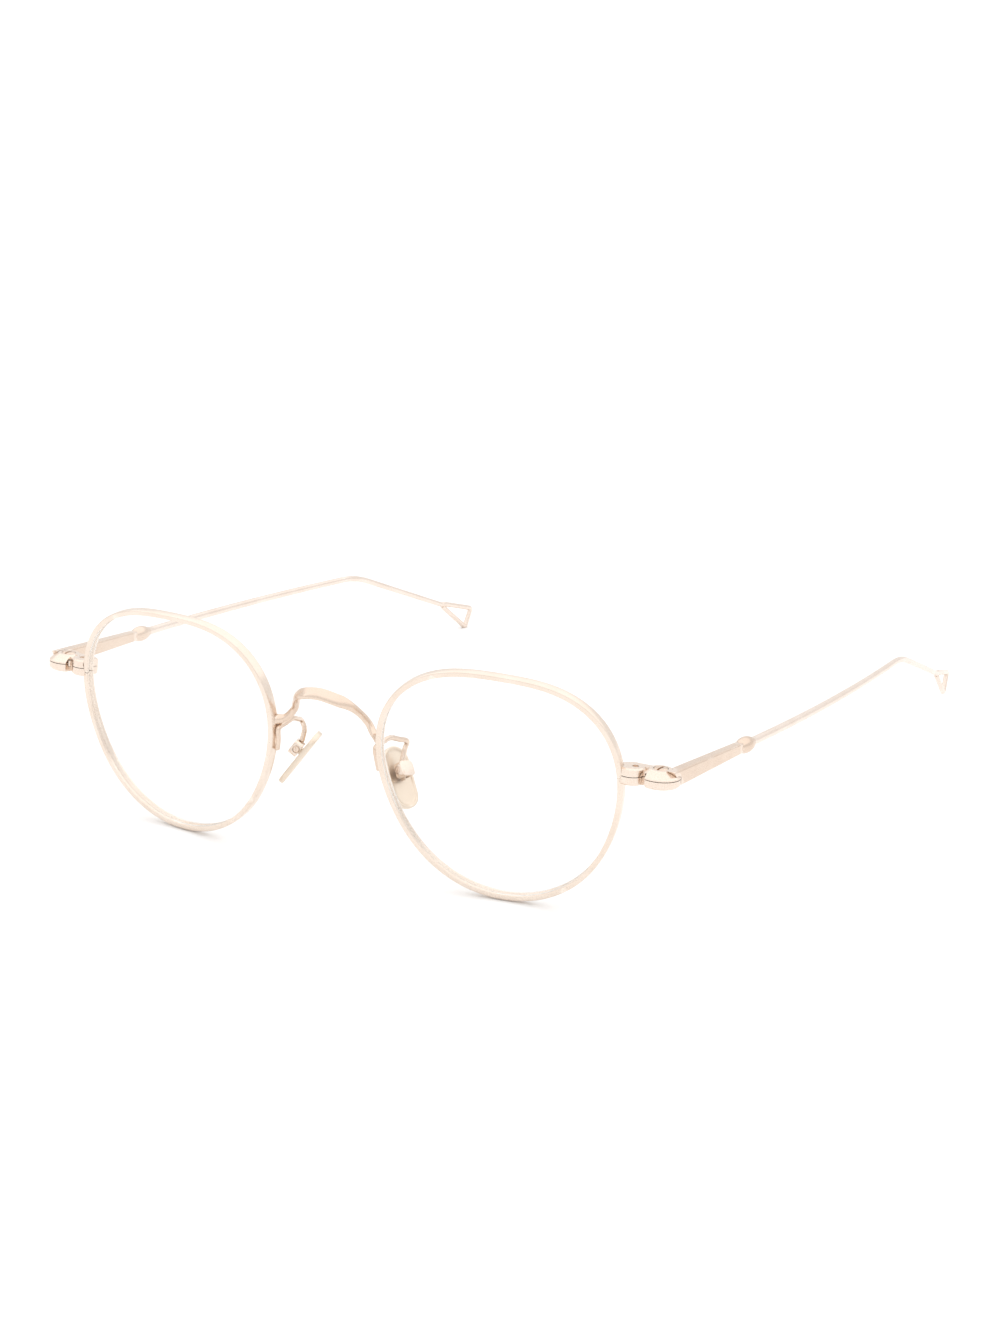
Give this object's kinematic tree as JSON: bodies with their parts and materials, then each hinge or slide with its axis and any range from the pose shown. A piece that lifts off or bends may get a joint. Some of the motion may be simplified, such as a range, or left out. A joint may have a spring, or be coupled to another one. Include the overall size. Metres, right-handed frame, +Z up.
{
  "type": "eyeglasses",
  "caption": "Round wire eyeglasses: grooved rims, saddle bridge, screw-hinged end pieces, thin wire temples with end loops, metal nose pads.",
  "frame": {"origin": "under the middle of the bounding box, on the surface that the rims and the lower end loop stand on", "axes": "+X to the wearer's left, +Y back along the open temples, +Z up"},
  "size_m": [0.1324, 0.161, 0.0426],
  "materials": {
    "rose_gold": "satin pale rose-gold plating",
    "pad_metal": "satin champagne-gold plating",
    "screw_metal": "polished rose-gold plated screws",
    "clear_lens": "clear, polished, anti-reflection coated"
  },
  "bodies": {
    "front": {"bridge": "rose_gold", "rim_left": "rose_gold", "rim_right": "rose_gold", "lens_left": "clear_lens", "lens_right": "clear_lens", "upper_end_plate_left": "rose_gold", "upper_end_plate_right": "rose_gold", "lower_end_plate_left": "rose_gold", "lower_end_plate_right": "rose_gold", "rim_lock_screw_left": "screw_metal", "rim_lock_screw_right": "screw_metal", "hinge_screw_left": "screw_metal", "hinge_screw_right": "screw_metal", "pad_arm_left": "rose_gold", "pad_arm_right": "rose_gold", "pad_box_left": "rose_gold", "pad_box_right": "rose_gold", "pad_screw_left": "screw_metal", "pad_screw_right": "screw_metal"},
    "temple_left": {"temple_butt_left": "rose_gold", "temple_bead_left": "rose_gold", "temple_wire_left": "rose_gold", "end_loop_left": "rose_gold"},
    "temple_right": {"temple_butt_right": "rose_gold", "temple_bead_right": "rose_gold", "temple_wire_right": "rose_gold", "end_loop_right": "rose_gold"},
    "nose_pad_left": {"nose_pad_left": "pad_metal"},
    "nose_pad_right": {"nose_pad_right": "pad_metal"}
  },
  "joints": [
    {"name": "temple_fold_left", "type": "hinge", "parent": "front", "child": "temple_left", "pos_m": [0.05879, -0.0684, 0.02721], "axis": [0, 0.0423, 0.9991], "range_deg": [0, 92]},
    {"name": "temple_fold_right", "type": "hinge", "parent": "front", "child": "temple_right", "pos_m": [-0.06261, -0.0684, 0.02721], "axis": [0, -0.0695, -0.9976], "range_deg": [-3.9, 76]},
    {"name": "pad_rock_left", "type": "hinge", "parent": "front", "child": "nose_pad_left", "pos_m": [0.00911, -0.06786, 0.01888], "axis": [0.3555, 0.919, -0.1701], "range_deg": [-8, 8]},
    {"name": "pad_rock_right", "type": "hinge", "parent": "front", "child": "nose_pad_right", "pos_m": [-0.01293, -0.06786, 0.01888], "axis": [0.3555, -0.919, 0.1701], "range_deg": [-8, 8]}
  ]
}
